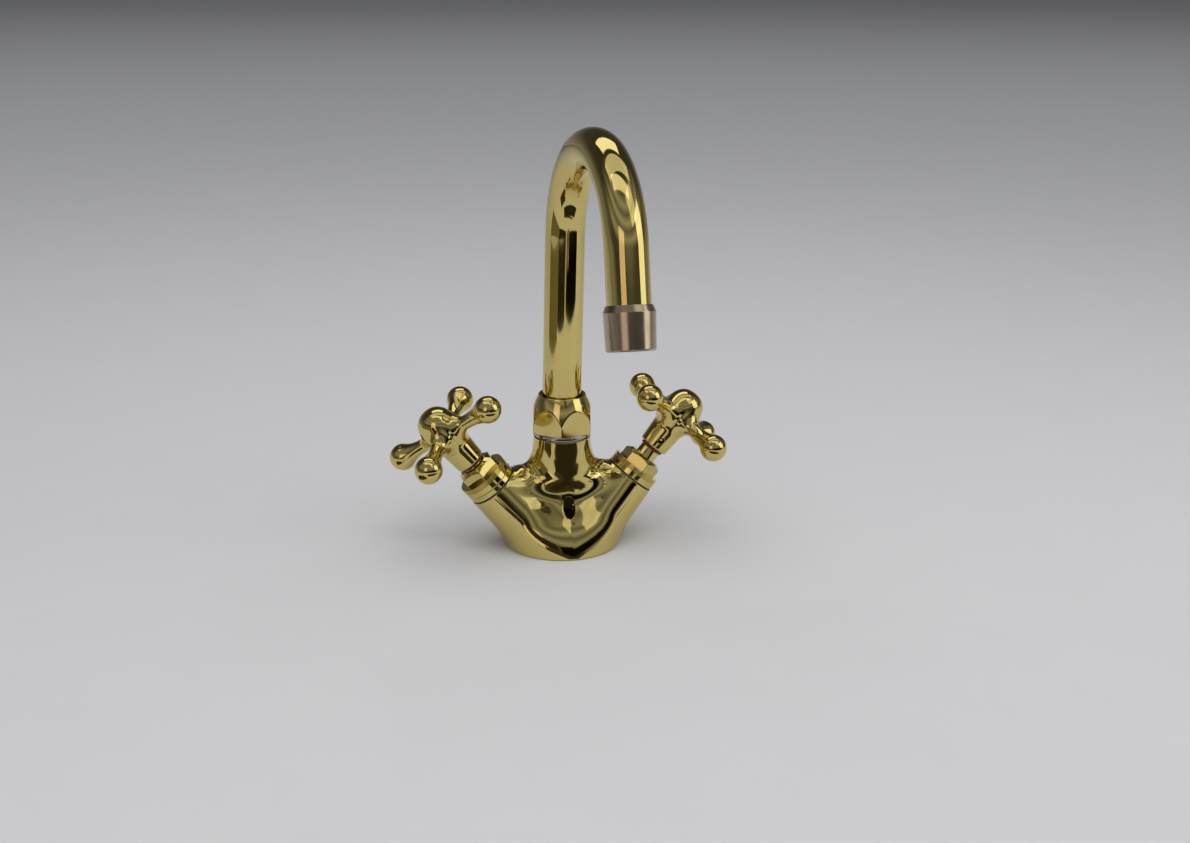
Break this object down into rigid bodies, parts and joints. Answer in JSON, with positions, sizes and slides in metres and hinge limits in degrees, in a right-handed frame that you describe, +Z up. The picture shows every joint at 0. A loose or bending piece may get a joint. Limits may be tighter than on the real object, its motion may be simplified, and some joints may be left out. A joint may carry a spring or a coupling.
{
  "type": "single-hole lavatory faucet",
  "caption": "Two-handle basin mixer for one hole: V-shaped brass body, oblique screw-down valves with cross handles, and a swivelling swan-neck spout with an aerator.",
  "frame": {"origin": "centre of the foot, on the basin's surface", "axes": "+Z up, +X from the left valve to the right one, the spout reaches out towards -Y"},
  "size_m": [0.1587, 0.1353, 0.1993],
  "materials": {
    "polished_brass": "polished",
    "satin_bronze": "satin",
    "bright_metal": "polished",
    "black_rubber": "matte",
    "white_plastic": "matte",
    "red_fibre": "matte",
    "steel": "brushed"
  },
  "bodies": {
    "fixed": {"faucet_body": "polished_brass", "base_seal": "black_rubber", "left_spacer_ring": "polished_brass", "left_headwork": "polished_brass", "right_headwork": "polished_brass", "left_port_seal": "black_rubber", "right_port_seal": "black_rubber", "spout_nut": "polished_brass", "neck_ring": "bright_metal", "spout_glide_ring": "white_plastic"},
    "spout": {"spout_tube": "polished_brass", "spout_ferrule": "polished_brass", "spout_seals": "black_rubber", "spout_snap_ring": "polished_brass", "outlet_ferrule": "polished_brass", "aerator_housing": "satin_bronze", "aerator_seal": "black_rubber", "aerator_insert": "white_plastic", "aerator_screen": "steel"},
    "left_lift": {"left_jumper_valve": "polished_brass", "left_tap_washer": "black_rubber", "left_washer_nut": "polished_brass"},
    "left_turn": {"left_spindle": "polished_brass", "left_spindle_seals": "black_rubber", "left_handle": "polished_brass", "left_grub_screw": "steel", "left_handle_rings": "red_fibre"},
    "right_lift": {"right_jumper_valve": "polished_brass", "right_tap_washer": "black_rubber", "right_washer_nut": "polished_brass"},
    "right_turn": {"right_spindle": "polished_brass", "right_spindle_seals": "black_rubber", "right_handle": "polished_brass", "right_grub_screw": "steel", "right_handle_rings": "red_fibre"}
  },
  "joints": [
    {"name": "spout_swivel", "type": "hinge", "parent": "fixed", "child": "spout", "pos_m": [0, 0, 0.06], "axis": [0, 0, 1], "continuous": true},
    {"name": "left_lift", "type": "slide", "parent": "fixed", "child": "left_lift", "axis": [-0.6361, 0, 0.7716], "range_m": [0, 0.004]},
    {"name": "left_turn", "type": "hinge", "parent": "left_lift", "child": "left_turn", "pos_m": [-0.05494, 0, 0.05662], "axis": [-0.6361, 0, 0.7716], "range_deg": [0, 720]},
    {"name": "right_lift", "type": "slide", "parent": "fixed", "child": "right_lift", "axis": [0.6361, 0, 0.7716], "range_m": [0, 0.004]},
    {"name": "right_turn", "type": "hinge", "parent": "right_lift", "child": "right_turn", "pos_m": [0.05494, 0, 0.05662], "axis": [0.6361, 0, 0.7716], "range_deg": [0, 720]}
  ],
  "couplings": [
    {"joint": "left_lift", "follows": "left_turn", "m_per_rad": 0.00031831},
    {"joint": "right_lift", "follows": "right_turn", "m_per_rad": 0.00031831}
  ]
}
